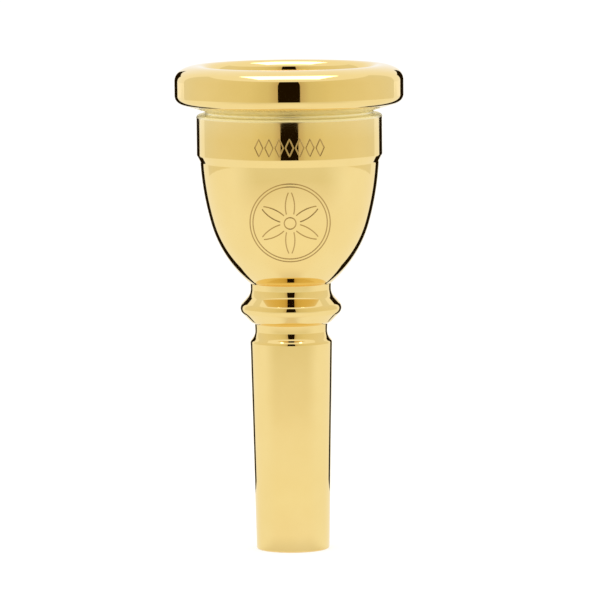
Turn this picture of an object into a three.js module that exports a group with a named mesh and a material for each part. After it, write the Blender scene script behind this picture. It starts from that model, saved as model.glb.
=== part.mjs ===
// One-piece brass mouthpiece for a large-shank low brass instrument, turned and bored from solid bar.
// Millimetres, +Z up. The origin is the centre of the shank's end face, on the axis of the bore,
// so the mouthpiece stands on its shank with the rim on top.
import * as THREE from "three";

// Facets round the axis. A multiple of four keeps the rim's full diameter along X and along Y.
const FACETS = 48;

// Shank: a plain taper that wedges into the instrument's receiver, with a rounded shoulder on top.
const SHANK_END_DIAMETER = 12.58;
const SHANK_TOP_DIAMETER = 14.14;
const SHANK_LENGTH = 35.72;
const SHANK_END_ROUNDING = 0.3;
const SHANK_SHOULDER_ROUNDING = 0.78;
const SHANK_SHOULDER_TILT = 38;

// Lower neck: a short flank and a cove up to the waist, and a slower flare from there to the bead.
const LOWER_NECK_DIAMETER = 12.46;
const LOWER_COVE_RADIUS = 1.95;
const LOWER_FLARE_RADIUS = 11;
const LOWER_FLARE_TILT = 6.5;

// Bead: a rounded heel at the foot, a straight underside, a nose, and a straight top flank.
const BEAD_DIAMETER = 17.46;
const BEAD_HEIGHT = 41.68;
const BEAD_NOSE_RADIUS = 1.35;
const BEAD_UNDERSIDE_TILT = -44;
const BEAD_HEEL_DIAMETER = 14.38;
const BEAD_HEEL_RADIUS = 2.4;
const BEAD_HEEL_START = -68;
const BEAD_FLANK_TILT = 42;

// Upper neck: the same curves as the lower neck, from the bead to the bottom of the cup.
const UPPER_NECK_DIAMETER = 13.9;
const UPPER_COVE_RADIUS = 2;
const UPPER_FLARE_RADIUS = 16;
const UPPER_FLARE_TILT = 3.5;

// Outside of the cup: two tangent curves. A tilt is the wall's lean from vertical, in degrees.
const CUP_TOP_DIAMETER = 30.68;
const CUP_TOP_HEIGHT = 66.9;
const CUP_TOP_TILT = 3.2;
const CUP_MIDDLE_TILT = 15.75;
const CUP_UPPER_CURVE = 49.6;
const CUP_LOWER_CURVE = 21;

// Plain cylindrical band above the cup, with a chamfer below and a rounded edge above.
const BAND_DIAMETER = 31.88;
const BAND_BOTTOM = 68.1;
const BAND_TOP = 75.05;
const BAND_ROUNDING = 0.6;

// Groove turned in between the band and the rim, with a round bottom. Its diameter is at the bottom.
const GROOVE_DIAMETER = 28.8;
const GROOVE_BOTTOM_RADIUS = 0.33;

// Rim: sloping underside, rounded corner, straight side, shoulder and cushion.
const RIM_DIAMETER = 39.26;
const RIM_UNDERSIDE_SLOPE = 16;
const RIM_CORNER_RADIUS = 1.6;
const RIM_SHOULDER_HEIGHT = 80.75;
const RIM_SHOULDER_RADIUS = 2.2;
const RIM_SHOULDER_END = 60;
const RIM_CUSHION_RADIUS = 5.4;
const RIM_CUSHION_END = 94;
const BITE_RADIUS = 1.8;

// Inside of the cup: a bowl drawn from the bite to the shoulder of the throat.
const BOWL_UPPER_PULL = 10;
const BOWL_LOWER_PULL = 9.5;
const THROAT_SHOULDER_RADIUS = 4.4;
const THROAT_SHOULDER_END = 138.5;

// Throat and backbore.
const THROAT_DIAMETER = 7;
const THROAT_TOP = 50;
const THROAT_BOTTOM = 46;
const BACKBORE_BEND_HEIGHT = 32;
const BACKBORE_EXIT_DIAMETER = 10.4;

const PALE_GOLD = 0xe9cf86;

// A point of the half section, by its distance from the axis and its height.
const at = (radius, height) => new THREE.Vector2(radius, height);

// The point that lies on a bearing from a centre, in degrees: 0 is away from the axis, 90 is up.
function onArc(centre, radius, bearing) {
  const angle = THREE.MathUtils.degToRad(bearing);
  return at(centre.x + radius * Math.cos(angle), centre.y + radius * Math.sin(angle));
}

// The centre of an arc that passes through a point on a bearing.
const centreFrom = (point, radius, bearing) => onArc(point, -radius, bearing);

function arc(centre, radius, from, to, steps) {
  const bearings = [from, to].map(THREE.MathUtils.degToRad);
  return new THREE.EllipseCurve(
    centre.x, centre.y, radius, radius, ...bearings, to < from,
  ).getPoints(steps);
}

function shankOutside() {
  const endRadius = SHANK_END_DIAMETER / 2 - SHANK_END_ROUNDING;
  const shoulderReach = SHANK_TOP_DIAMETER / 2 - SHANK_SHOULDER_ROUNDING;
  const shoulderCentre = at(shoulderReach, SHANK_LENGTH);
  return [
    at(BACKBORE_EXIT_DIAMETER / 2, 0),
    ...arc(at(endRadius, SHANK_END_ROUNDING), SHANK_END_ROUNDING, -90, 0, 3),
    ...arc(shoulderCentre, SHANK_SHOULDER_ROUNDING, 0, SHANK_SHOULDER_TILT, 3),
  ];
}

// A neck's two curves meet at its waist, where the wall stands upright: a straight flank and a cove
// up to the waist, and a flare above it. Both curves have their centres level with the waist.
function neck(foot, footTilt, waistRadius, coveRadius, flareRadius, flareTilt) {
  const lean = THREE.MathUtils.degToRad(footTilt);
  const flankEnd = waistRadius + coveRadius * (1 - Math.cos(lean));
  const coveStart = at(flankEnd, foot.y + (foot.x - flankEnd) / Math.tan(lean));
  const coveCentre = centreFrom(coveStart, coveRadius, 180 + footTilt);
  const waist = onArc(coveCentre, coveRadius, 180);
  const flareCentre = centreFrom(waist, flareRadius, 180);
  return [
    ...arc(coveCentre, coveRadius, 180 + footTilt, 180, 5),
    ...arc(flareCentre, flareRadius, 180, 180 - flareTilt, 2).slice(1),
  ];
}

function lowerNeckOutside(shoulderEnd) {
  const waistRadius = LOWER_NECK_DIAMETER / 2;
  return neck(
    shoulderEnd, SHANK_SHOULDER_TILT,
    waistRadius, LOWER_COVE_RADIUS, LOWER_FLARE_RADIUS, LOWER_FLARE_TILT,
  );
}

function beadOutside() {
  const noseCentre = at(BEAD_DIAMETER / 2 - BEAD_NOSE_RADIUS, BEAD_HEIGHT);
  const noseStart = onArc(noseCentre, BEAD_NOSE_RADIUS, BEAD_UNDERSIDE_TILT);
  const lean = THREE.MathUtils.degToRad(-BEAD_UNDERSIDE_TILT);
  const heelReach = BEAD_HEEL_DIAMETER / 2;
  const heelEnd = at(heelReach, noseStart.y - (noseStart.x - heelReach) / Math.tan(lean));
  const heelCentre = centreFrom(heelEnd, BEAD_HEEL_RADIUS, BEAD_UNDERSIDE_TILT);
  return [
    ...arc(heelCentre, BEAD_HEEL_RADIUS, BEAD_HEEL_START, BEAD_UNDERSIDE_TILT, 3),
    ...arc(noseCentre, BEAD_NOSE_RADIUS, BEAD_UNDERSIDE_TILT, BEAD_FLANK_TILT, 7),
  ];
}

function upperNeckOutside(noseEnd) {
  const waistRadius = UPPER_NECK_DIAMETER / 2;
  return neck(
    noseEnd, BEAD_FLANK_TILT,
    waistRadius, UPPER_COVE_RADIUS, UPPER_FLARE_RADIUS, UPPER_FLARE_TILT,
  );
}

// The lower curve comes in to the neck's radius, where the neck's flare has already ended.
function cupOutside(neckRadius) {
  const top = at(CUP_TOP_DIAMETER / 2, CUP_TOP_HEIGHT);
  const upperCentre = centreFrom(top, CUP_UPPER_CURVE, -CUP_TOP_TILT);
  const joint = onArc(upperCentre, CUP_UPPER_CURVE, -CUP_MIDDLE_TILT);
  const lowerCentre = centreFrom(joint, CUP_LOWER_CURVE, -CUP_MIDDLE_TILT);
  const neckReach = (neckRadius - lowerCentre.x) / CUP_LOWER_CURVE;
  const neckBearing = -THREE.MathUtils.radToDeg(Math.acos(neckReach));
  return [
    ...arc(lowerCentre, CUP_LOWER_CURVE, neckBearing, -CUP_MIDDLE_TILT, 9).slice(1),
    ...arc(upperCentre, CUP_UPPER_CURVE, -CUP_MIDDLE_TILT, -CUP_TOP_TILT, 6).slice(1),
  ];
}

function bandOutside() {
  const roundingCentre = at(BAND_DIAMETER / 2 - BAND_ROUNDING, BAND_TOP - BAND_ROUNDING);
  return [
    at(BAND_DIAMETER / 2, BAND_BOTTOM),
    ...arc(roundingCentre, BAND_ROUNDING, 0, 90, 4),
  ];
}

// The groove's floor is level with the top of the band, and its round bottom turns back outwards
// until it is in line with the rim's underside.
function grooveOutside() {
  const centre = at(
    GROOVE_DIAMETER / 2 + GROOVE_BOTTOM_RADIUS,
    BAND_TOP + GROOVE_BOTTOM_RADIUS,
  );
  return arc(centre, GROOVE_BOTTOM_RADIUS, 270, 90 + RIM_UNDERSIDE_SLOPE, 5);
}

// The rounded corner starts where the sloping underside touches it.
function rimUnderside(grooveEnd) {
  const normal = RIM_UNDERSIDE_SLOPE - 90;
  const centreRadius = RIM_DIAMETER / 2 - RIM_CORNER_RADIUS;
  const touch = onArc(at(centreRadius, 0), RIM_CORNER_RADIUS, normal);
  const slope = Math.tan(THREE.MathUtils.degToRad(RIM_UNDERSIDE_SLOPE));
  const touchHeight = grooveEnd.y + (touch.x - grooveEnd.x) * slope;
  const centre = at(centreRadius, touchHeight - touch.y);
  return arc(centre, RIM_CORNER_RADIUS, normal, 0, 5);
}

function rimTop() {
  const shoulderReach = RIM_DIAMETER / 2 - RIM_SHOULDER_RADIUS;
  const shoulderCentre = at(shoulderReach, RIM_SHOULDER_HEIGHT);
  const shoulderEnd = onArc(shoulderCentre, RIM_SHOULDER_RADIUS, RIM_SHOULDER_END);
  const cushionCentre = centreFrom(shoulderEnd, RIM_CUSHION_RADIUS, RIM_SHOULDER_END);
  const cushionEnd = onArc(cushionCentre, RIM_CUSHION_RADIUS, RIM_CUSHION_END);
  const biteCentre = centreFrom(cushionEnd, BITE_RADIUS, RIM_CUSHION_END);
  return [
    ...arc(shoulderCentre, RIM_SHOULDER_RADIUS, 0, RIM_SHOULDER_END, 5),
    ...arc(cushionCentre, RIM_CUSHION_RADIUS, RIM_SHOULDER_END, RIM_CUSHION_END, 8).slice(1),
    ...arc(biteCentre, BITE_RADIUS, RIM_CUSHION_END, 180, 4).slice(1),
  ];
}

// The bowl leaves the bite straight down and meets the throat's shoulder in line with it.
function cupInside(bite) {
  const throatRadius = THROAT_DIAMETER / 2;
  const shoulderCentre = at(throatRadius + THROAT_SHOULDER_RADIUS, THROAT_TOP);
  const bowlFoot = onArc(shoulderCentre, THROAT_SHOULDER_RADIUS, THROAT_SHOULDER_END);
  const bowl = new THREE.CubicBezierCurve(
    bite,
    at(bite.x, bite.y - BOWL_UPPER_PULL),
    onArc(bowlFoot, BOWL_LOWER_PULL, THROAT_SHOULDER_END - 90),
    bowlFoot,
  );
  return [
    ...bowl.getPoints(13).slice(1),
    ...arc(shoulderCentre, THROAT_SHOULDER_RADIUS, THROAT_SHOULDER_END, 180, 4).slice(1),
  ];
}

function backbore() {
  const throatRadius = THROAT_DIAMETER / 2;
  return new THREE.QuadraticBezierCurve(
    at(throatRadius, THROAT_BOTTOM),
    at(throatRadius, BACKBORE_BEND_HEIGHT),
    at(BACKBORE_EXIT_DIAMETER / 2, 0),
  ).getPoints(6);
}

// The half section: up the outside from the shank's end, over the rim and down the bore.
function halfSection() {
  const shank = shankOutside();
  const lowerNeck = lowerNeckOutside(shank.at(-1));
  const bead = beadOutside();
  const upperNeck = upperNeckOutside(bead.at(-1));
  const groove = grooveOutside();
  const rim = rimTop();
  return [
    ...shank,
    ...lowerNeck,
    ...bead,
    ...upperNeck,
    ...cupOutside(upperNeck.at(-1).x),
    ...bandOutside(),
    ...groove,
    ...rimUnderside(groove.at(-1)),
    ...rim,
    ...cupInside(rim.at(-1)),
    ...backbore(),
  ];
}

function mouthpieceBody() {
  const plating = new THREE.MeshStandardMaterial({
    color: PALE_GOLD,
    metalness: 1,
    roughness: 0.08,
  });
  const geometry = new THREE.LatheGeometry(halfSection(), FACETS);
  geometry.rotateX(Math.PI / 2);
  const body = new THREE.Mesh(geometry, plating);
  body.name = "mouthpiece_body";
  return body;
}

const mouthpiece = new THREE.Group();
mouthpiece.add(mouthpieceBody());

export default mouthpiece;
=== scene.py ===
import math

import bpy
import numpy as np
from mathutils import Matrix, Vector
from mathutils.geometry import delaunay_2d_cdt


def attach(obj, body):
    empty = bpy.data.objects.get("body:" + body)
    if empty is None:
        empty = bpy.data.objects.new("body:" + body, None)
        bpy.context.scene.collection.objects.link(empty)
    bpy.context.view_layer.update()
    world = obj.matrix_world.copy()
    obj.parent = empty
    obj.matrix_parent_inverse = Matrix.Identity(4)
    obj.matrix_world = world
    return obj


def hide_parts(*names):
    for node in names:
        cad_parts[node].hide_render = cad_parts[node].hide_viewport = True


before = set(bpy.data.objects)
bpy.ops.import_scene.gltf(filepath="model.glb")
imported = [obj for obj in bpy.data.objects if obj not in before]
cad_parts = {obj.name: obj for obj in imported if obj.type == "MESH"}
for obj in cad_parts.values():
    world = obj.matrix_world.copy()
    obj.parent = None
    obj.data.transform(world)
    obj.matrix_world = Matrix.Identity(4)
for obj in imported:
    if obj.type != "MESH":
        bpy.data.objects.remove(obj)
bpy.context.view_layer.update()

CAD_NODE = "mouthpiece_body"
MM = 0.001

# The turned profile, in millimetres as in the CAD part. A tilt is a lean from vertical, in degrees,
# and a name that ends in START or END is a bearing on an arc. SEGMENTS are the steps round the axis.
SEGMENTS = 192

# Shank, with a rounded end and a rounded shoulder.
SHANK_END_RADIUS = 6.29
SHANK_TOP_RADIUS = 7.07
SHANK_LENGTH = 35.72
SHANK_END_ROUNDING = 0.3
SHOULDER_ROUNDING = 0.78
SHOULDER_TILT = 38

# Lower neck: a cove up to the waist and a slow flare above it.
LOWER_NECK_RADIUS = 6.23
LOWER_COVE = 1.95
LOWER_FLARE = 11
LOWER_FLARE_TILT = 6.5

# Bead: a rounded heel, a straight underside, a nose and a straight top flank.
BEAD_RADIUS = 8.73
BEAD_HEIGHT = 41.68
BEAD_NOSE = 1.35
BEAD_UNDERSIDE_TILT = -44
BEAD_HEEL_RADIUS = 7.19
BEAD_HEEL = 2.4
BEAD_HEEL_START = -68
BEAD_FLANK_TILT = 42

# Upper neck: the same curves as the lower neck.
UPPER_NECK_RADIUS = 6.95
UPPER_COVE = 2
UPPER_FLARE = 16
UPPER_FLARE_TILT = 3.5

# Outside of the cup: two tangent curves.
CUP_TOP_RADIUS = 15.34
CUP_TOP_HEIGHT = 66.9
CUP_TOP_TILT = 3.2
CUP_MIDDLE_TILT = 15.75
CUP_UPPER_CURVE = 49.6
CUP_LOWER_CURVE = 21

# Band, and the groove between the band and the rim.
BAND_RADIUS = 15.94
BAND_BOTTOM = 68.1
BAND_TOP = 75.05
BAND_ROUNDING = 0.6
GROOVE_RADIUS = 14.4
GROOVE_ROUNDING = 0.33

# Rim: underside, corner, straight side, shoulder, cushion and the bite on its inner edge.
RIM_RADIUS = 19.63
RIM_UNDERSIDE_SLOPE = 16
RIM_CORNER = 1.6
RIM_SHOULDER_HEIGHT = 80.75
RIM_SHOULDER = 2.2
RIM_SHOULDER_END = 60
RIM_CUSHION = 5.4
RIM_CUSHION_END = 94
BITE = 1.8

# Inside: bowl, rounded shoulder of the throat, throat and backbore.
BOWL_UPPER_PULL = 10
BOWL_LOWER_PULL = 9.5
THROAT_RADIUS = 3.5
THROAT_SHOULDER = 4.4
THROAT_SHOULDER_END = 138.5
THROAT_TOP = 50
THROAT_BOTTOM = 46
BACKBORE_BEND_HEIGHT = 32
BACKBORE_EXIT_RADIUS = 5.2

# How finely the curves are cut: degrees of an arc, millimetres along a run, and steps of a curve.
ARC_STEP = 5
LONGEST_STEP = 0.9
LONGEST_STRAIGHT_STEP = 3.6
BOWL_STEPS = 36
BACKBORE_STEPS = 16

# How far each way the polishing eases a sharp corner, and at most what share of a short run. A joint
# that turns by less than SMOOTH_JOINT degrees isn't a corner. Points nearer than SAME_PLACE are one.
CORNER_EASE = 0.12
CORNER_SHARE = 0.45
CORNER_STEPS = 4
SMOOTH_JOINT = 1.5
SAME_PLACE = 0.0001
NOT_ZERO = 1e-9

# Where the plating is matt and painted paler as a painted sheen, from the top of the band to the
# rim's underside: the heights over which it sets in and fades out, and the radius that leaves out
# the bowl's wall.
MATT_SHEEN_START = (BAND_TOP - 0.7, BAND_TOP - 0.35)
MATT_SHEEN_END = (BAND_TOP + 1.6, BAND_TOP + 1.9)
MATT_SHEEN_INNER_RADIUS = GROOVE_RADIUS - 0.4


def on_arc(centre, radius, bearing):
    """The point on a bearing from a centre, in degrees: 0 is away from the axis, 90 is up."""
    angle = math.radians(bearing)
    return np.array([centre[0] + radius * math.cos(angle), centre[1] + radius * math.sin(angle)])


def arc(centre, radius, start, end):
    """Points and directions of travel along an arc."""
    turn = abs(end - start)
    steps = max(2, math.ceil(turn / ARC_STEP), math.ceil(math.radians(turn) * radius / LONGEST_STEP))
    bearings = np.radians(np.linspace(start, end, steps + 1))
    points = np.array(centre) + radius * np.stack([np.cos(bearings), np.sin(bearings)], 1)
    sense = 1 if end > start else -1
    return points, sense * np.stack([-np.sin(bearings), np.cos(bearings)], 1)


def line(start, end):
    """Points and directions of travel along a straight stretch."""
    start = np.array(start, float)
    end = np.array(end, float)
    length = np.linalg.norm(end - start)
    steps = max(1, math.ceil(length / LONGEST_STRAIGHT_STEP))
    points = start + (end - start) * np.linspace(0, 1, steps + 1)[:, None]
    return points, np.tile((end - start) / length, (steps + 1, 1))


def bezier(controls, steps):
    """Points and directions of travel along a Bezier curve of any degree."""
    controls = [np.array(c, float) for c in controls]
    t = np.linspace(0, 1, steps + 1)[:, None]

    def blend(points):
        while len(points) > 1:
            points = [a + (b - a) * t for a, b in zip(points[:-1], points[1:])]
        return points[0]

    slope = blend([b - a for a, b in zip(controls[:-1], controls[1:])])
    slope = slope + np.zeros_like(t)
    return blend(controls), slope / np.linalg.norm(slope, axis=1)[:, None]


def neck(foot, foot_tilt, waist_radius, cove, flare, flare_tilt):
    """A straight flank and a cove up to the waist, where the wall stands upright, then a flare."""
    lean = math.radians(foot_tilt)
    flank_end = waist_radius + cove * (1 - math.cos(lean))
    cove_start = (flank_end, foot[1] + (foot[0] - flank_end) / math.tan(lean))
    cove_centre = on_arc(cove_start, -cove, 180 + foot_tilt)
    waist = on_arc(cove_centre, cove, 180)
    flare_centre = on_arc(waist, -flare, 180)
    return [
        line(foot, cove_start),
        arc(cove_centre, cove, 180 + foot_tilt, 180),
        arc(flare_centre, flare, 180, 180 - flare_tilt),
    ]


def shank_runs():
    taper = math.degrees(math.atan2(SHANK_TOP_RADIUS - SHANK_END_RADIUS, SHANK_LENGTH))
    end_centre = (SHANK_END_RADIUS - SHANK_END_ROUNDING, SHANK_END_ROUNDING)
    top_centre = (SHANK_TOP_RADIUS - SHOULDER_ROUNDING, SHANK_LENGTH)
    return [
        line((BACKBORE_EXIT_RADIUS, 0), (end_centre[0], 0)),
        arc(end_centre, SHANK_END_ROUNDING, -90, -taper),
        line(
            on_arc(end_centre, SHANK_END_ROUNDING, -taper),
            on_arc(top_centre, SHOULDER_ROUNDING, -taper),
        ),
        arc(top_centre, SHOULDER_ROUNDING, -taper, SHOULDER_TILT),
    ]


def bead_runs():
    nose_centre = (BEAD_RADIUS - BEAD_NOSE, BEAD_HEIGHT)
    nose_start = on_arc(nose_centre, BEAD_NOSE, BEAD_UNDERSIDE_TILT)
    drop = (nose_start[0] - BEAD_HEEL_RADIUS) / math.tan(math.radians(-BEAD_UNDERSIDE_TILT))
    heel_end = (BEAD_HEEL_RADIUS, nose_start[1] - drop)
    heel_centre = on_arc(heel_end, -BEAD_HEEL, BEAD_UNDERSIDE_TILT)
    return [
        arc(heel_centre, BEAD_HEEL, BEAD_HEEL_START, BEAD_UNDERSIDE_TILT),
        line(heel_end, nose_start),
        arc(nose_centre, BEAD_NOSE, BEAD_UNDERSIDE_TILT, BEAD_FLANK_TILT),
    ]


def cup_runs(neck_radius):
    top = (CUP_TOP_RADIUS, CUP_TOP_HEIGHT)
    upper_centre = on_arc(top, -CUP_UPPER_CURVE, -CUP_TOP_TILT)
    joint = on_arc(upper_centre, CUP_UPPER_CURVE, -CUP_MIDDLE_TILT)
    lower_centre = on_arc(joint, -CUP_LOWER_CURVE, -CUP_MIDDLE_TILT)
    neck_bearing = -math.degrees(math.acos((neck_radius - lower_centre[0]) / CUP_LOWER_CURVE))
    return [
        arc(lower_centre, CUP_LOWER_CURVE, neck_bearing, -CUP_MIDDLE_TILT),
        arc(upper_centre, CUP_UPPER_CURVE, -CUP_MIDDLE_TILT, -CUP_TOP_TILT),
    ]


def band_runs():
    rounding_centre = (BAND_RADIUS - BAND_ROUNDING, BAND_TOP - BAND_ROUNDING)
    return [
        line((CUP_TOP_RADIUS, CUP_TOP_HEIGHT), (BAND_RADIUS, BAND_BOTTOM)),
        line((BAND_RADIUS, BAND_BOTTOM), (BAND_RADIUS, rounding_centre[1])),
        arc(rounding_centre, BAND_ROUNDING, 0, 90),
    ]


def groove_runs():
    """In along the top of the band, and round the bottom of the groove to the rim's underside."""
    centre = (GROOVE_RADIUS + GROOVE_ROUNDING, BAND_TOP + GROOVE_ROUNDING)
    return [
        line((BAND_RADIUS - BAND_ROUNDING, BAND_TOP), (centre[0], BAND_TOP)),
        arc(centre, GROOVE_ROUNDING, 270, 90 + RIM_UNDERSIDE_SLOPE),
    ]


def rim_runs(groove_end):
    normal = RIM_UNDERSIDE_SLOPE - 90
    corner_reach = RIM_RADIUS - RIM_CORNER
    touch = on_arc((corner_reach, 0), RIM_CORNER, normal)
    slope = math.tan(math.radians(RIM_UNDERSIDE_SLOPE))
    touch_height = groove_end[1] + (touch[0] - groove_end[0]) * slope
    corner_centre = (corner_reach, touch_height - touch[1])
    shoulder_centre = (RIM_RADIUS - RIM_SHOULDER, RIM_SHOULDER_HEIGHT)
    shoulder_end = on_arc(shoulder_centre, RIM_SHOULDER, RIM_SHOULDER_END)
    cushion_centre = on_arc(shoulder_end, -RIM_CUSHION, RIM_SHOULDER_END)
    cushion_end = on_arc(cushion_centre, RIM_CUSHION, RIM_CUSHION_END)
    bite_centre = on_arc(cushion_end, -BITE, RIM_CUSHION_END)
    return [
        line(groove_end, (touch[0], touch_height)),
        arc(corner_centre, RIM_CORNER, normal, 0),
        line((RIM_RADIUS, corner_centre[1]), (RIM_RADIUS, RIM_SHOULDER_HEIGHT)),
        arc(shoulder_centre, RIM_SHOULDER, 0, RIM_SHOULDER_END),
        arc(cushion_centre, RIM_CUSHION, RIM_SHOULDER_END, RIM_CUSHION_END),
        arc(bite_centre, BITE, RIM_CUSHION_END, 180),
    ]


def bore_runs(bite):
    shoulder_centre = (THROAT_RADIUS + THROAT_SHOULDER, THROAT_TOP)
    bowl_foot = on_arc(shoulder_centre, THROAT_SHOULDER, THROAT_SHOULDER_END)
    bowl = [
        bite,
        (bite[0], bite[1] - BOWL_UPPER_PULL),
        on_arc(bowl_foot, BOWL_LOWER_PULL, THROAT_SHOULDER_END - 90),
        bowl_foot,
    ]
    backbore = [
        (THROAT_RADIUS, THROAT_BOTTOM),
        (THROAT_RADIUS, BACKBORE_BEND_HEIGHT),
        (BACKBORE_EXIT_RADIUS, 0),
    ]
    return [
        bezier(bowl, BOWL_STEPS),
        arc(shoulder_centre, THROAT_SHOULDER, THROAT_SHOULDER_END, 180),
        line((THROAT_RADIUS, THROAT_TOP), (THROAT_RADIUS, THROAT_BOTTOM)),
        bezier(backbore, BACKBORE_STEPS),
    ]


def profile_runs():
    """The whole half section, anticlockwise: up the outside, over the rim and down the bore."""
    shank = shank_runs()
    lower_neck = neck(
        shank[-1][0][-1], SHOULDER_TILT, LOWER_NECK_RADIUS, LOWER_COVE, LOWER_FLARE, LOWER_FLARE_TILT
    )
    bead = bead_runs()
    step = line(lower_neck[-1][0][-1], bead[0][0][0])
    upper_neck = neck(
        bead[-1][0][-1], BEAD_FLANK_TILT, UPPER_NECK_RADIUS, UPPER_COVE, UPPER_FLARE, UPPER_FLARE_TILT
    )
    cup = cup_runs(upper_neck[-1][0][-1][0])
    gap = line(upper_neck[-1][0][-1], cup[0][0][0])
    groove = groove_runs()
    rim = rim_runs(groove[-1][0][-1])
    bore = bore_runs(rim[-1][0][-1])
    return [
        *shank, *lower_neck, step, *bead, *upper_neck, gap, *cup, *band_runs(), *groove, *rim, *bore
    ]


def cut(run, distance):
    """A run without its last stretch, of a given length measured straight from its end."""
    points, ways = run
    reach = np.linalg.norm(points - points[-1], axis=1)
    last = int(np.nonzero(reach > distance)[0][-1])
    share = (reach[last] - distance) / (reach[last] - reach[last + 1])
    point = points[last] + (points[last + 1] - points[last]) * share
    way = ways[last] + (ways[last + 1] - ways[last]) * share
    way = way / np.linalg.norm(way)
    return np.vstack([points[:last + 1], point]), np.vstack([ways[:last + 1], way])


def flipped(run):
    return run[0][::-1], run[1][::-1]


def corner_turn(runs, i):
    """How far the profile turns between a run and the next, in degrees."""
    after = runs[(i + 1) % len(runs)]
    return math.degrees(math.acos(min(1, float(runs[i][1][-1] @ after[1][0]))))


def corner_curve(run, after):
    """A small curve from the end of a run to the start of the next, tangent to both."""
    start, way_in = run[0][-1], run[1][-1]
    end, way_out = after[0][0], after[1][0]
    share = np.linalg.solve(np.stack([way_in, way_out], 1), end - start)[0]
    return bezier([start, start + way_in * share, end], CORNER_STEPS)


def eased(runs):
    """The closed profile with every sharp corner between two runs turned into a small curve."""
    runs = list(runs)
    corners = [i for i in range(len(runs)) if corner_turn(runs, i) >= SMOOTH_JOINT]
    for i in corners:
        after = (i + 1) % len(runs)
        lengths = [np.linalg.norm(run[0][-1] - run[0][0]) for run in (runs[i], runs[after])]
        ease = min(CORNER_EASE, CORNER_SHARE * min(lengths))
        runs[i] = cut(runs[i], ease)
        runs[after] = flipped(cut(flipped(runs[after]), ease))
    joined = []
    for i, run in enumerate(runs):
        joined.append(run)
        if i in corners:
            joined.append(corner_curve(run, runs[(i + 1) % len(runs)]))
    points = np.concatenate([run[0] for run in joined])
    ways = np.concatenate([run[1] for run in joined])
    fresh = np.linalg.norm(points - np.roll(points, 1, axis=0), axis=1) > SAME_PLACE
    return points[fresh], ways[fresh]


def smooth_step(low, high, values):
    share = np.clip((values - low) / (high - low), 0, 1)
    return share * share * (3 - 2 * share)


def matt_and_sheen_share(places):
    """How far each place lies in the groove, where the plating is matt and painted paler as a painted
    sheen.
    """
    radius = np.linalg.norm(places[:, :2], axis=1)
    height = places[:, 2]
    above = smooth_step(*MATT_SHEEN_START, height)
    below = 1 - smooth_step(*MATT_SHEEN_END, height)
    return above * below * (radius > MATT_SHEEN_INNER_RADIUS)


# The engraving, drawn on the front plane: x to the right, z up. Each line is cut as a smooth valley,
# a quarter as deep as it is wide, and the grid is kept only where it is clear of the lines.
CUT_HALF_WIDTH = 0.13
CUT_DEPTH = 0.065
CUT_STEP = 0.3
CAP_BEARINGS = (45, 0, -45)
KEEP_CLEAR = 0.28
MERGE_DISTANCE = 0.00001

# The rosette on the cup, and the part of the grid that it lies in: heights, and columns each way.
ROSETTE_HEIGHT = 57.4
ROSETTE_RINGS = (6.8, 6.3)
ROSETTE_EYE = 1.0
PETALS = 6
PETAL_CIRCLE = 5.8
PETAL_INNER_END = 1.75
PETAL_OUTER_END = 5.25
ROSETTE_WINDOW = (49.9, 65.2)
ROSETTE_HALF_COLUMNS = 18

# The row of lozenges on the band, in the same way.
LOZENGE_HEIGHT = 70.3
LOZENGE_HALF_SIZE = (0.68, 1.5)
LOZENGE_SPACING = 1.72
LOZENGES_EACH_SIDE = 3
LOZENGE_SIDE_STEPS = 4
LOZENGE_WINDOW = (BAND_BOTTOM + CORNER_EASE, BAND_TOP - BAND_ROUNDING)
LOZENGE_HALF_COLUMNS = 13


def circle_stroke(radius):
    count = round(2 * math.pi * radius / CUT_STEP)
    angles = np.arange(count) * 2 * math.pi / count
    points = radius * np.stack([np.cos(angles), np.sin(angles)], 1)
    return points + (0, ROSETTE_HEIGHT), True


def petal_strokes(bearing):
    """The two sides of a petal, as arcs of circles drawn from the points of a hexagon."""
    reach = [math.asin(end / (2 * PETAL_CIRCLE)) for end in (PETAL_INNER_END, PETAL_OUTER_END)]
    count = round(2 * PETAL_CIRCLE * (reach[1] - reach[0]) / CUT_STEP)
    half_turns = np.linspace(*reach, count)
    distances = 2 * PETAL_CIRCLE * np.sin(half_turns)
    strokes = []
    for side in (-1, 1):
        angles = math.radians(bearing) + side * (math.pi / 6 - half_turns)
        points = distances[:, None] * np.stack([np.cos(angles), np.sin(angles)], 1)
        strokes.append((points + (0, ROSETTE_HEIGHT), False))
    return strokes


def rosette_strokes():
    strokes = [circle_stroke(radius) for radius in (*ROSETTE_RINGS, ROSETTE_EYE)]
    for petal in range(PETALS):
        strokes += petal_strokes((petal + 0.5) * 360 / PETALS)
    return strokes


def lozenge_strokes():
    half_width, half_height = LOZENGE_HALF_SIZE
    corners = np.array([(half_width, 0), (0, half_height), (-half_width, 0), (0, -half_height)])
    strokes = []
    for place in range(-LOZENGES_EACH_SIDE, LOZENGES_EACH_SIDE + 1):
        sides = [
            corner + (after - corner) * np.linspace(0, 1, LOZENGE_SIDE_STEPS + 1)[:-1, None]
            for corner, after in zip(corners, np.roll(corners, -1, 0))
        ]
        strokes.append((np.concatenate(sides) + (place * LOZENGE_SPACING, LOZENGE_HEIGHT), True))
    return strokes


def unit(vectors):
    return vectors / np.linalg.norm(vectors, axis=-1, keepdims=True)


def offset(stroke, distance):
    """A line beside a stroke, with mitred corners."""
    points, closed = stroke
    steps = np.roll(points, -1, 0) - points
    if not closed:
        steps[-1] = steps[-2]
    after = unit(steps)
    before = np.roll(after, 1, 0)
    if not closed:
        before[0] = after[0]
    sides = [np.stack([-way[:, 1], way[:, 0]], 1) for way in (before, after)]
    mitre = sides[0] + sides[1]
    mitre /= np.sum(mitre * sides[1], 1)[:, None]
    return points + distance * mitre


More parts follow.
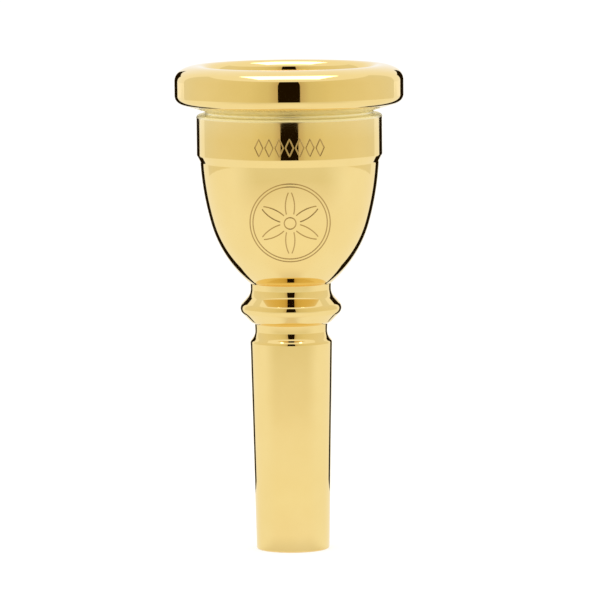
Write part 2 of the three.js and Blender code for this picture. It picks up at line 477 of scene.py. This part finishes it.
def loops(stroke, distance):
    """Closed lines at a distance all round a stroke, with round caps where it is open."""
    points, closed = stroke
    left, right = offset(stroke, distance), offset(stroke, -distance)
    if closed:
        return [left, right]
    caps = []
    for end, way in ((points[-1], points[-1] - points[-2]), (points[0], points[0] - points[1])):
        bearing = math.atan2(way[1], way[0]) + np.radians(CAP_BEARINGS)
        caps.append(end + distance * np.stack([np.cos(bearing), np.sin(bearing)], 1))
    return [np.concatenate([left, caps[0], right[::-1], caps[1]])]


def nearest(strokes, places):
    """How far each place is from the nearest stroke, and the direction away from it."""
    starts = np.concatenate([points if closed else points[:-1] for points, closed in strokes])
    ends = np.concatenate([
        np.roll(points, -1, 0) if closed else points[1:] for points, closed in strokes
    ])
    along = ends - starts
    gap = places[:, None] - starts
    share = np.clip(np.sum(gap * along, 2) / np.sum(along * along, 1), 0, 1)
    gap -= share[:, :, None] * along
    distances = np.linalg.norm(gap, axis=2)
    pick = np.argmin(distances, 1)
    row = np.arange(len(places))
    distance = distances[row, pick]
    return distance, gap[row, pick] / np.maximum(distance, NOT_ZERO)[:, None]


def turned_at(points, ways, heights):
    """Radius and slope of the turned surface at any height between the profile's points."""
    slopes = ways[:, 0] / ways[:, 1]
    i = np.clip(np.searchsorted(points[:, 1], heights) - 1, 0, len(points) - 2)
    rise = points[i + 1, 1] - points[i, 1]
    t = (heights - points[i, 1]) / rise
    radius = points[i, 0] * (1 + 2 * t) * (1 - t) ** 2 + points[i + 1, 0] * t ** 2 * (3 - 2 * t)
    radius += rise * t * (1 - t) * (slopes[i] * (1 - t) - slopes[i + 1] * t)
    return radius, slopes[i] * (1 - t) + slopes[i + 1] * t


def cut_surface(points, ways, strokes, angles, heights):
    """Places, normals and the share of cut metal on the surface once the strokes are cut."""
    radius, slope = turned_at(points, ways, heights)
    outward = np.stack([np.sin(angles), -np.cos(angles), np.zeros_like(angles)], 1)
    upward = np.array([0, 0, 1.0])
    normals = unit(outward - slope[:, None] * upward)
    distance, away = nearest(strokes, np.stack([radius * np.sin(angles), heights], 1))
    phase = math.pi * np.minimum(distance / CUT_HALF_WIDTH, 1)
    depth = CUT_DEPTH / 2 * (1 + np.cos(phase))
    steepness = CUT_DEPTH / 2 * math.pi / CUT_HALF_WIDTH * np.sin(phase)
    lean = np.stack([away[:, 0], np.zeros_like(angles), away[:, 1]], 1)
    lean -= np.sum(lean * normals, 1)[:, None] * normals
    places = outward * radius[:, None] + heights[:, None] * upward - normals * depth[:, None]
    share = np.clip(2 * (1 - distance / CUT_HALF_WIDTH), 0, 1)
    return places, unit(normals - steepness[:, None] * unit(lean + NOT_ZERO)), share


def stroke_lines(strokes):
    """The lines that the mesh has to follow: each stroke's middle, half way out and its edges."""
    lines = []
    for stroke in strokes:
        lines.append(stroke)
        for distance in (CUT_HALF_WIDTH / 2, CUT_HALF_WIDTH):
            lines += [(loop, True) for loop in loops(stroke, distance)]
    return lines


def kept_grid(points, first, last, half_columns, strokes):
    """The grid vertices of a window that stay: its edges, and those clear of the strokes."""
    rings = np.arange(first, last + 1)
    columns = np.arange(-half_columns, half_columns + 1)
    ring, column = [grid.ravel() for grid in np.meshgrid(rings, columns, indexing="ij")]
    angles = column * 2 * math.pi / SEGMENTS
    heights = points[ring, 1]
    edge = (ring == first) | (ring == last) | (abs(column) == half_columns)
    drawn = np.stack([points[ring, 0] * np.sin(angles), heights], 1)
    kept = edge | (nearest(strokes, drawn)[0] > KEEP_CLEAR)
    ids = ring[kept] * SEGMENTS + column[kept] % SEGMENTS
    return ids, angles[kept], heights[kept]


def engraved_window(points, ways, first, last, half_columns, strokes):
    """The triangles that replace the grid between two rings, and the grid vertices they keep."""
    ids, angles, heights = kept_grid(points, first, last, half_columns, strokes)
    part_points, part_ways = points[first:last + 1], ways[first:last + 1]
    scale = part_points[:, 0].mean()
    flat = [np.stack([angles * scale, heights], 1)]
    edges = []
    count = len(ids)
    for line_points, closed in stroke_lines(strokes):
        radius = turned_at(part_points, part_ways, line_points[:, 1])[0]
        across = np.arcsin(line_points[:, 0] / radius) * scale
        flat.append(np.stack([across, line_points[:, 1]], 1))
        index = np.arange(len(line_points)) + count
        pairs = np.stack([index, np.roll(index, -1)], 1)
        edges += pairs.tolist() if closed else pairs[:-1].tolist()
        count += len(line_points)
    corners, _, faces, origins, _, _ = delaunay_2d_cdt(
        [Vector(place) for place in np.concatenate(flat)], edges, [], 0, MERGE_DISTANCE
    )
    corners = np.array([tuple(corner) for corner in corners])
    surface = cut_surface(part_points, part_ways, strokes, corners[:, 0] / scale, corners[:, 1])
    grid_ids = [ids[min(origin)] if origin and min(origin) < len(ids) else -1 for origin in origins]
    return surface, np.array(faces), np.array(grid_ids)


def ring_near(points, height):
    """The ring of the outside that lies nearest to a height."""
    outside = points[:np.argmax(points[:, 1]), 1]
    return int(np.argmin(abs(outside - height)))


def engraving_windows(points):
    """First and last ring, columns each way and strokes of both engraved parts of the grid."""
    return [
        (*(ring_near(points, height) for height in heights), half_columns, strokes)
        for heights, half_columns, strokes in (
            (ROSETTE_WINDOW, ROSETTE_HALF_COLUMNS, rosette_strokes()),
            (LOZENGE_WINDOW, LOZENGE_HALF_COLUMNS, lozenge_strokes()),
        )
    ]


def revolved(pairs):
    """Each pair of radius and height, or its direction, at every step round the axis."""
    angles = np.arange(SEGMENTS) * 2 * math.pi / SEGMENTS
    return np.stack([
        np.outer(pairs[:, 0], np.sin(angles)),
        -np.outer(pairs[:, 0], np.cos(angles)),
        np.repeat(pairs[:, 1:], SEGMENTS, 1),
    ], -1).reshape(-1, 3)


def grid_quads(rings, windows):
    """The quads between the rings, without those that the engraved windows replace."""
    ring, step = np.divmod(np.arange(rings * SEGMENTS), SEGMENTS)
    here = ring * SEGMENTS
    above = (ring + 1) % rings * SEGMENTS
    beside = (step + 1) % SEGMENTS
    quads = np.stack([here + step, here + beside, above + beside, above + step], 1)
    column = (step + SEGMENTS // 2) % SEGMENTS - SEGMENTS // 2
    whole = np.ones(len(quads), bool)
    for first, last, half_columns, _ in windows:
        inside = (ring >= first) & (ring < last) & (column >= -half_columns) & (column < half_columns)
        whole &= ~inside
    return quads[whole]


def body_surface():
    """Places, normals and shares of cut metal of every vertex, with the quads and the triangles."""
    points, ways = eased(profile_runs())
    windows = engraving_windows(points)
    quads = grid_quads(len(points), windows)
    outward = np.stack([ways[:, 1], -ways[:, 0]], 1)
    columns = [[revolved(points)], [revolved(outward)], [np.zeros(len(points) * SEGMENTS)]]
    triangles = []
    for window in windows:
        surface, faces, ids = engraved_window(points, ways, *window)
        fresh = ids < 0
        ids[fresh] = sum(len(part) for part in columns[0]) + np.arange(fresh.sum())
        for parts, values in zip(columns, surface):
            parts.append(values[fresh])
        triangles.append(ids[faces])
    triangles = np.concatenate(triangles)
    used = np.unique(np.concatenate([quads.ravel(), triangles.ravel()]))
    places, normals, shares = [np.concatenate(parts)[used] for parts in columns]
    return places, normals, shares, np.searchsorted(used, quads), np.searchsorted(used, triangles)


def turned_body():
    """The whole mouthpiece as one closed mesh, with the exact normals of the turned surface."""
    places, normals, shares, quads, triangles = body_surface()
    mesh = bpy.data.meshes.new("mouthpiece")
    mesh.from_pydata((places * MM).tolist(), [], [*quads.tolist(), *triangles.tolist()])
    mesh.update()
    mesh.normals_split_custom_set_from_vertices(normals.tolist())
    # The groove mask: matt there, and painted paler as a painted sheen.
    for name, values in (("satin_and_sheen", matt_and_sheen_share(places)), ("engraving", shares)):
        mesh.attributes.new(name, "FLOAT", "POINT").data.foreach_set("value", values)
    body = bpy.data.objects.new("mouthpiece", mesh)
    bpy.context.collection.objects.link(body)
    return body


def node(tree, kind, inputs=None, **settings):
    made = tree.nodes.new(kind)
    for name, value in settings.items():
        setattr(made, name, value)
    for name, value in (inputs or {}).items():
        if isinstance(value, bpy.types.NodeSocket):
            tree.links.new(value, made.inputs[name])
        else:
            made.inputs[name].default_value = value
    return made


def new_material(name):
    material = bpy.data.materials.new(name)
    material.use_nodes = True
    material.node_tree.nodes.clear()
    return material


# Gold: the polished plating's two tones, the matt plating in the groove, painted paler as a painted
# sheen, and the cut lines, painted darker as painted shade in the recesses.
DEEP_GOLD = (0.895, 0.675, 0.27, 1)
BRIGHT_GOLD = (0.915, 0.705, 0.3, 1)
# The groove's paler colour is a painted sheen.
MATT_SHEEN_GOLD = (1.0, 0.92, 0.64, 1)
# The cut lines' darker colour is painted shade in the recesses.
CUT_SHADE_GOLD = (0.5, 0.33, 0.12, 1)
TONE_RANGE = (0.3, 0.7)
POLISHED_ROUGHNESS = (0.025, 0.05)
HAZE_RANGE = (0.35, 0.75)
LINE_ROUGHNESS = (-0.008, 0.012)
LINE_RANGE = (0.3, 0.7)
MATT_ROUGHNESS = 0.38
CUT_ROUGHNESS = 0.3

# The noise in the plating: sizes of haze and specks in millimetres, and polishing lines that are
# fine along the axis and drawn out round it.
HAZE_SIZE = 9
HAZE_DETAIL = 3
SPECK_SIZE = 0.35
SPECK_DETAIL = 2
NOISE_ROUGHNESS = 0.55
LINES_PER_METRE = 5200
LINE_STRETCH = (0.04, 0.04, 1.0)
LINE_DETAIL = 3
LINE_NOISE_ROUGHNESS = 0.6
BUMP_STRENGTH = 0.12
BUMP_DISTANCE = 0.0000015


def scaled_noise(tree, place, size_mm, detail):
    """Noise whose main features measure about size_mm."""
    return node(tree, "ShaderNodeTexNoise", {
        "Vector": place.outputs["Object"],
        "Scale": 1 / (size_mm * MM),
        "Detail": detail,
        "Roughness": NOISE_ROUGHNESS,
    }).outputs["Fac"]


def polishing_lines(tree, place):
    """Fine lines that run round the axis, as the polishing cloth leaves them."""
    squashed = node(tree, "ShaderNodeVectorMath", {
        0: place.outputs["Object"], 1: LINE_STRETCH,
    }, operation="MULTIPLY")
    return node(tree, "ShaderNodeTexNoise", {
        "Vector": squashed.outputs[0],
        "Scale": LINES_PER_METRE,
        "Detail": LINE_DETAIL,
        "Roughness": LINE_NOISE_ROUGHNESS,
    }).outputs["Fac"]


def mapped(tree, value, source, target):
    """A value carried from one range to another, and held at its ends."""
    return node(tree, "ShaderNodeMapRange", {
        0: value, 1: source[0], 2: source[1], 3: target[0], 4: target[1],
    }).outputs[0]


def mixed_colour(tree, share, first, second):
    return node(tree, "ShaderNodeMix", {0: share, 6: first, 7: second}, data_type="RGBA").outputs[2]


def mixed_value(tree, share, first, second):
    return node(tree, "ShaderNodeMix", {0: share, 2: first, 3: second}).outputs[0]


def calculated(tree, operation, first, second=0.0):
    return node(tree, "ShaderNodeMath", {0: first, 1: second}, operation=operation).outputs[0]


def gold_plating():
    """Mirror-polished gold with a faint haze, matt in the groove and painted paler there as a painted
    sheen, and darker where it is cut as painted shade in the recesses.
    """
    material = new_material("gold_plating")
    tree = material.node_tree
    place = node(tree, "ShaderNodeTexCoord")
    satin_and_sheen = node(tree, "ShaderNodeAttribute", attribute_name="satin_and_sheen").outputs["Fac"]
    engraved = node(tree, "ShaderNodeAttribute", attribute_name="engraving").outputs["Fac"]
    haze = scaled_noise(tree, place, HAZE_SIZE, HAZE_DETAIL)
    specks = scaled_noise(tree, place, SPECK_SIZE, SPECK_DETAIL)
    lines = polishing_lines(tree, place)

    tone = mapped(tree, haze, TONE_RANGE, (0, 1))
    polished_gold = mixed_colour(tree, tone, DEEP_GOLD, BRIGHT_GOLD)
    # The groove is painted paler here as a painted sheen.
    uncut_gold = mixed_colour(tree, satin_and_sheen, polished_gold, MATT_SHEEN_GOLD)
    # The cuts are painted darker here as painted shade in the recesses.
    colour = mixed_colour(tree, engraved, uncut_gold, CUT_SHADE_GOLD)

    spread = mapped(tree, haze, HAZE_RANGE, POLISHED_ROUGHNESS)
    grain = mapped(tree, lines, LINE_RANGE, LINE_ROUGHNESS)
    polished = calculated(tree, "ADD", spread, grain)
    uncut = mixed_value(tree, satin_and_sheen, polished, MATT_ROUGHNESS)
    roughness = mixed_value(tree, engraved, uncut, CUT_ROUGHNESS)

    bump = node(tree, "ShaderNodeBump", {
        "Height": calculated(tree, "ADD", lines, specks),
        "Strength": BUMP_STRENGTH,
        "Distance": BUMP_DISTANCE,
    })
    shader = node(tree, "ShaderNodeBsdfPrincipled", {
        "Metallic": 1.0,
        "Base Color": colour,
        "Roughness": roughness,
        "Normal": bump.outputs[0],
    })
    node(tree, "ShaderNodeOutputMaterial", {"Surface": shader.outputs[0]})
    return material


# The studio, in metres: a white room and floor under a softbox, and cards that only reflections see.
WHITE = (1, 1, 1, 1)
ROOM_LIGHT = 1.0
SOFTBOX_SIZE = (0.7, 0.6)
SOFTBOX_PLACE = (0, 0, 0.95)
SOFTBOX_WATTS = 3.6
FLOOR_SIZE = 12
FLOOR_COLOUR = (0.5, 0.5, 0.5, 1)
FLOOR_GLOW = 0.55
DARK_COLOUR = (0.012, 0.006, 0.0, 1)

# The curved walls, with a dark gap on the camera's side. Azimuths are in degrees from that side, and
# each stop is an azimuth and the wall's colour there.
WALL_RADIUS = 0.3
WALL_BOTTOM = 0.018
WALL_HEIGHT = 0.37
WALL_STEP = 4
GAP_HALF_ANGLE = 10.7
WALL_END_ANGLE = 128
WALL_STOPS = (
    (GAP_HALF_ANGLE, (0.60, 0.50, 0.34)),
    (20, (0.74, 0.68, 0.46)),
    (40, (0.82, 0.76, 0.54)),
    (90, (0.87, 0.83, 0.70)),
    (130, (0.85, 0.84, 0.77)),
)

# The two dark flags behind the object: left and right edges, how far behind, and their height.
FLAG_EDGES = {"flag_left": (-0.054, -0.029), "flag_right": (0.031, 0.056)}
FLAG_DEPTH = 0.06
FLAG_HEIGHT = 0.1

# The card just over the floor. Each stop is a distance from the object and the colour there, on the
# camera's side: the dim stop beside the object is a painted shadow of it, and the duller stops further
# off are painted shade. Between the two side angles it changes to the colour of the sides and the back.
FLOOR_CARD_RADIUS = 0.9
FLOOR_CARD_HEIGHT = 0.0002
FLOOR_CARD_STOPS = (
    # Painted shadow of the object, beside it.
    (0.008, (0.84, 0.81, 0.76)),
    (0.02, (0.98, 0.96, 0.92)),
    (0.055, (1.0, 1.0, 0.96)),
    (0.128, (0.97, 0.96, 0.92)),
    # Painted shade, duller further off.
    (0.16, (0.92, 0.90, 0.84)),
    (0.24, (0.84, 0.82, 0.71)),
    (0.45, (0.86, 0.86, 0.79)),
)
FLOOR_SIDE_COLOUR = (0.99, 1.0, 1.0, 1)
FLOOR_SIDE_ANGLES = (38, 85)


def glowing(name, colour_of):
    """An emission material. Its colour is worked out by a function of the node tree."""
    material = new_material(name)
    tree = material.node_tree
    light = node(tree, "ShaderNodeEmission", {"Color": colour_of(tree), "Strength": 1.0})
    node(tree, "ShaderNodeOutputMaterial", {"Surface": light.outputs[0]})
    return material


def camera_side_angle(tree):
    """The azimuth of a place, in radians, from 0 on the camera's side to pi at the back."""
    place = node(tree, "ShaderNodeNewGeometry").outputs["Position"]
    parts = node(tree, "ShaderNodeSeparateXYZ", {0: place})
    side = calculated(tree, "ABSOLUTE", parts.outputs["X"])
    front = calculated(tree, "MULTIPLY", parts.outputs["Y"], -1.0)
    return calculated(tree, "ARCTAN2", side, front)


def colour_ramp(tree, value, stops, last):
    """A ramp through stops of (value, colour), where the ramp's end stands for the value last."""
    share = calculated(tree, "DIVIDE", value, last)
    ramp = node(tree, "ShaderNodeValToRGB", {0: share})
    elements = ramp.color_ramp.elements
    while len(elements) < len(stops):
        elements.new(0.5)
    for element, (position, colour) in zip(elements, stops):
        element.position = position / last
        element.color = (*colour, 1)
    return ramp.outputs[0]


def wall_colour(tree):
    """Warm grey that pales from the camera's side towards the back."""
    stops = [(math.radians(degrees), colour) for degrees, colour in WALL_STOPS]
    return colour_ramp(tree, camera_side_angle(tree), stops, math.pi)


def floor_card_colour(tree):
    """Dim beside the object as a painted shadow of it, bright in front of it, duller further off as
    painted shade, and white at the sides.
    """
    place = node(tree, "ShaderNodeNewGeometry").outputs["Position"]
    flat = node(tree, "ShaderNodeVectorMath", {0: place, 1: (1, 1, 0)}, operation="MULTIPLY")
    reach = node(tree, "ShaderNodeVectorMath", {0: flat.outputs[0]}, operation="LENGTH")
    front = colour_ramp(tree, reach.outputs["Value"], FLOOR_CARD_STOPS, FLOOR_CARD_RADIUS)
    low, high = (math.radians(angle) for angle in FLOOR_SIDE_ANGLES)
    aside = node(tree, "ShaderNodeMapRange", {
        0: camera_side_angle(tree), 1: low, 2: high,
    }, interpolation_type="SMOOTHSTEP")
    return mixed_colour(tree, aside.outputs[0], front, FLOOR_SIDE_COLOUR)


def floor_material():
    """Matt grey with a glow of its own, which together come out nearly white."""
    material = new_material("floor")
    tree = material.node_tree
    matt = node(tree, "ShaderNodeBsdfDiffuse", {"Color": FLOOR_COLOUR})
    glow = node(tree, "ShaderNodeEmission", {"Color": WHITE, "Strength": FLOOR_GLOW})
    both = node(tree, "ShaderNodeAddShader", {0: matt.outputs[0], 1: glow.outputs[0]})
    node(tree, "ShaderNodeOutputMaterial", {"Surface": both.outputs[0]})
    return material


def stage_mesh(name, vertices, faces, material):
    mesh = bpy.data.meshes.new(name)
    mesh.from_pydata(vertices, [], faces)
    mesh.materials.append(material)
    obj = bpy.data.objects.new(name, mesh)
    bpy.context.collection.objects.link(obj)
    return obj


def only_reflected(obj):
    obj.visible_camera = False
    obj.visible_diffuse = False
    obj.visible_shadow = False


def level_square(name, half, height, material):
    corners = [(-half, -half, height), (half, -half, height), (half, half, height), (-half, half, height)]
    return stage_mesh(name, corners, [(0, 1, 2, 3)], material)


def curved_wall(name, start, end, material):
    """A wall round the object between two azimuths, where 0 is the camera's side."""
    steps = max(2, round(abs(end - start) / WALL_STEP))
    vertices = []
    for i in range(steps + 1):
        angle = math.radians(start + (end - start) * i / steps)
        x, y = WALL_RADIUS * math.sin(angle), -WALL_RADIUS * math.cos(angle)
        vertices += [(x, y, WALL_BOTTOM), (x, y, WALL_HEIGHT)]
    faces = [(2 * i, 2 * i + 2, 2 * i + 3, 2 * i + 1) for i in range(steps)]
    only_reflected(stage_mesh(name, vertices, faces, material))


def flag(name, left, right, material):
    vertices = [
        (left, FLAG_DEPTH, 0),
        (right, FLAG_DEPTH, 0),
        (right, FLAG_DEPTH, FLAG_HEIGHT),
        (left, FLAG_DEPTH, FLAG_HEIGHT),
    ]
    only_reflected(stage_mesh(name, vertices, [(0, 1, 2, 3)], material))


def room():
    world = bpy.data.worlds.new("room")
    world.use_nodes = True
    background = world.node_tree.nodes["Background"]
    background.inputs["Color"].default_value = WHITE
    background.inputs["Strength"].default_value = ROOM_LIGHT
    bpy.context.scene.world = world


def softbox():
    data = bpy.data.lights.new("softbox", "AREA")
    data.shape = "RECTANGLE"
    data.size, data.size_y = SOFTBOX_SIZE
    data.energy = SOFTBOX_WATTS
    light = bpy.data.objects.new("softbox", data)
    light.location = SOFTBOX_PLACE
    bpy.context.collection.objects.link(light)


def studio():
    room()
    softbox()
    level_square("floor", FLOOR_SIZE / 2, 0, floor_material())
    floor_card = glowing("floor_card", floor_card_colour)
    only_reflected(level_square("floor_card", FLOOR_CARD_RADIUS, FLOOR_CARD_HEIGHT, floor_card))
    wall = glowing("wall", wall_colour)
    curved_wall("wall_left", -WALL_END_ANGLE, -GAP_HALF_ANGLE, wall)
    curved_wall("wall_right", GAP_HALF_ANGLE, WALL_END_ANGLE, wall)
    dark = glowing("dark_card", lambda tree: DARK_COLOUR)
    curved_wall("gap", -GAP_HALF_ANGLE, GAP_HALF_ANGLE, dark)
    for name, (left, right) in FLAG_EDGES.items():
        flag(name, left, right, dark)


# The camera stands where the photograph was taken from. Places are in metres and the roll in degrees.
CAMERA_PLACE = (0.00155, -0.955, 0.1411)
CAMERA_AIM = (0.00155, 0, 0.04294)
CAMERA_ROLL = -0.52
CAMERA_LENS = 335.4
SENSOR_WIDTH = 36
NEAREST_SEEN = 0.01


def camera():
    data = bpy.data.cameras.new("camera")
    data.lens = CAMERA_LENS
    data.sensor_width = SENSOR_WIDTH
    data.clip_start = NEAREST_SEEN
    made = bpy.data.objects.new("camera", data)
    bpy.context.collection.objects.link(made)
    forward = (Vector(CAMERA_AIM) - Vector(CAMERA_PLACE)).normalized()
    turn = forward.to_track_quat("-Z", "Y").to_matrix().to_4x4()
    roll = Matrix.Rotation(math.radians(CAMERA_ROLL), 4, "Z")
    made.matrix_world = Matrix.Translation(CAMERA_PLACE) @ turn @ roll
    bpy.context.scene.camera = made


body = turned_body()
body.data.materials.append(gold_plating())
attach(body, "root")
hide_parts(CAD_NODE)
studio()
camera()
bpy.context.scene.view_settings.view_transform = "Standard"
